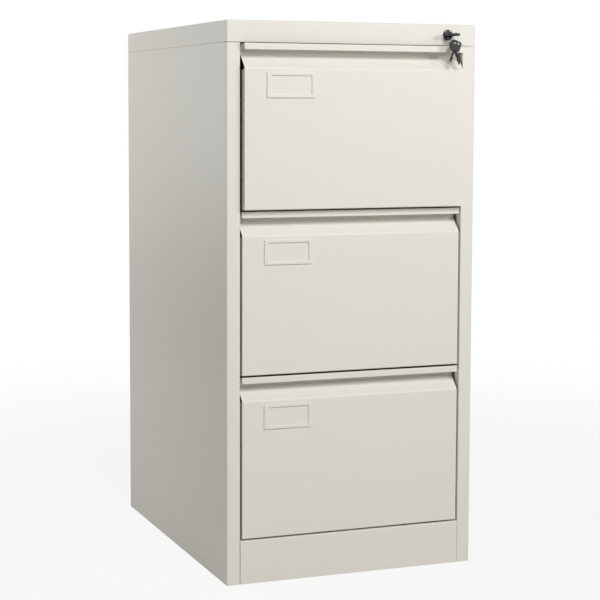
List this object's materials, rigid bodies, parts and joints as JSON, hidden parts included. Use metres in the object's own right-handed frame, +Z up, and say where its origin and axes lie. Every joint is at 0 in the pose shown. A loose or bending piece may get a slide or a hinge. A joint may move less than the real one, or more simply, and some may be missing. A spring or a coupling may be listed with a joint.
{
  "type": "filing cabinet",
  "caption": "Upright steel filing cabinet with drawers stacked under a lid-like top, full-width recessed grips, card frames, a cam lock with its keys and a flush plinth.",
  "frame": {"origin": "on the floor, under the middle of the carcass", "axes": "+Z up, drawers open towards -Y, +X to the right of someone facing the drawers"},
  "size_m": [0.48, 0.6802, 1],
  "materials": {
    "cabinet_paint": "satin powder coat, warm light grey",
    "inner_paint": "satin powder coat, thinner inside",
    "slide_steel": "zinc plated",
    "bearing_steel": "polished balls in a pressed strip",
    "lock_metal": "dark polished",
    "key_plastic": "black moulded",
    "wire": "bright nickel",
    "guide_plastic": "black nylon"
  },
  "bodies": {
    "cabinet": {"top_cover": "cabinet_paint", "left_side_panel": "cabinet_paint", "right_side_panel": "cabinet_paint", "rear_panel": "cabinet_paint", "base_panel": "cabinet_paint", "plinth_panel": "cabinet_paint", "front_left_upright": "inner_paint", "front_right_upright": "inner_paint", "rear_left_upright": "inner_paint", "rear_right_upright": "inner_paint", "cross_rails": "inner_paint", "rear_screws": "wire", "lock_housing": "lock_metal", "lock_nut": "lock_metal", "lock_bar_guides": "guide_plastic", "slide_outer_1": "slide_steel", "slide_outer_2": "slide_steel", "slide_outer_3": "slide_steel"},
    "drawer_1": {"drawer_1_front": "cabinet_paint", "drawer_1_inner_front": "inner_paint", "drawer_1_tray": "inner_paint", "drawer_1_back": "inner_paint", "drawer_1_file_rails": "inner_paint", "drawer_1_card_holder": "cabinet_paint", "drawer_1_lock_catch": "slide_steel", "slide_inner_1": "slide_steel"},
    "slide_middle_1": {"slide_middle_1": "slide_steel"},
    "slide_cage_outer_1": {"slide_cage_outer_1": "bearing_steel"},
    "slide_cage_inner_1": {"slide_cage_inner_1": "bearing_steel"},
    "drawer_2": {"drawer_2_front": "cabinet_paint", "drawer_2_inner_front": "inner_paint", "drawer_2_tray": "inner_paint", "drawer_2_back": "inner_paint", "drawer_2_file_rails": "inner_paint", "drawer_2_card_holder": "cabinet_paint", "drawer_2_lock_catch": "slide_steel", "slide_inner_2": "slide_steel"},
    "slide_middle_2": {"slide_middle_2": "slide_steel"},
    "slide_cage_outer_2": {"slide_cage_outer_2": "bearing_steel"},
    "slide_cage_inner_2": {"slide_cage_inner_2": "bearing_steel"},
    "drawer_3": {"drawer_3_front": "cabinet_paint", "drawer_3_inner_front": "inner_paint", "drawer_3_tray": "inner_paint", "drawer_3_back": "inner_paint", "drawer_3_file_rails": "inner_paint", "drawer_3_card_holder": "cabinet_paint", "drawer_3_lock_catch": "slide_steel", "slide_inner_3": "slide_steel"},
    "slide_middle_3": {"slide_middle_3": "slide_steel"},
    "slide_cage_outer_3": {"slide_cage_outer_3": "bearing_steel"},
    "slide_cage_inner_3": {"slide_cage_inner_3": "bearing_steel"},
    "lock_barrel": {"lock_barrel": "lock_metal", "lock_cam": "slide_steel", "lock_key": "key_plastic"},
    "lock_bar": {"lock_bar": "slide_steel"},
    "key_ring": {"key_ring": "wire"}
  },
  "joints": [
    {"name": "drawer_1_pull", "type": "slide", "parent": "cabinet", "child": "drawer_1", "axis": [0, -1, 0], "range_m": [-0.012, 0.5]},
    {"name": "slide_middle_1_run", "type": "slide", "parent": "cabinet", "child": "slide_middle_1", "axis": [0, -1, 0], "range_m": [-0.006, 0.25]},
    {"name": "slide_cage_outer_1_run", "type": "slide", "parent": "cabinet", "child": "slide_cage_outer_1", "axis": [0, -1, 0], "range_m": [-0.003, 0.125]},
    {"name": "slide_cage_inner_1_run", "type": "slide", "parent": "cabinet", "child": "slide_cage_inner_1", "axis": [0, -1, 0], "range_m": [-0.009, 0.375]},
    {"name": "drawer_2_pull", "type": "slide", "parent": "cabinet", "child": "drawer_2", "axis": [0, -1, 0], "range_m": [0, 0.512]},
    {"name": "slide_middle_2_run", "type": "slide", "parent": "cabinet", "child": "slide_middle_2", "axis": [0, -1, 0], "range_m": [0, 0.256]},
    {"name": "slide_cage_outer_2_run", "type": "slide", "parent": "cabinet", "child": "slide_cage_outer_2", "axis": [0, -1, 0], "range_m": [0, 0.128]},
    {"name": "slide_cage_inner_2_run", "type": "slide", "parent": "cabinet", "child": "slide_cage_inner_2", "axis": [0, -1, 0], "range_m": [0, 0.384]},
    {"name": "drawer_3_pull", "type": "slide", "parent": "cabinet", "child": "drawer_3", "axis": [0, -1, 0], "range_m": [0, 0.512]},
    {"name": "slide_middle_3_run", "type": "slide", "parent": "cabinet", "child": "slide_middle_3", "axis": [0, -1, 0], "range_m": [0, 0.256]},
    {"name": "slide_cage_outer_3_run", "type": "slide", "parent": "cabinet", "child": "slide_cage_outer_3", "axis": [0, -1, 0], "range_m": [0, 0.128]},
    {"name": "slide_cage_inner_3_run", "type": "slide", "parent": "cabinet", "child": "slide_cage_inner_3", "axis": [0, -1, 0], "range_m": [0, 0.384]},
    {"name": "lock_turn", "type": "hinge", "parent": "cabinet", "child": "lock_barrel", "pos_m": [0.184, -0.32, 0.981], "axis": [0, 1, 0], "range_deg": [0, 90]},
    {"name": "lock_bar_drop", "type": "slide", "parent": "cabinet", "child": "lock_bar", "axis": [0, 0, -1], "range_m": [0, 0.01414]},
    {"name": "key_ring_swing", "type": "hinge", "parent": "lock_barrel", "child": "key_ring", "pos_m": [0.1862, -0.3492, 0.981], "axis": [0, 1, 0], "range_deg": [-15, 15]}
  ],
  "couplings": [
    {"joint": "slide_middle_1_run", "follows": "drawer_1_pull", "ratio": 0.5},
    {"joint": "slide_cage_outer_1_run", "follows": "drawer_1_pull", "ratio": 0.25},
    {"joint": "slide_cage_inner_1_run", "follows": "drawer_1_pull", "ratio": 0.75},
    {"joint": "slide_middle_2_run", "follows": "drawer_2_pull", "ratio": 0.5},
    {"joint": "slide_cage_outer_2_run", "follows": "drawer_2_pull", "ratio": 0.25},
    {"joint": "slide_cage_inner_2_run", "follows": "drawer_2_pull", "ratio": 0.75},
    {"joint": "slide_middle_3_run", "follows": "drawer_3_pull", "ratio": 0.5},
    {"joint": "slide_cage_outer_3_run", "follows": "drawer_3_pull", "ratio": 0.25},
    {"joint": "slide_cage_inner_3_run", "follows": "drawer_3_pull", "ratio": 0.75},
    {"joint": "lock_turn", "follows": "lock_bar_drop", "rad_per_m": 111.07}
  ]
}
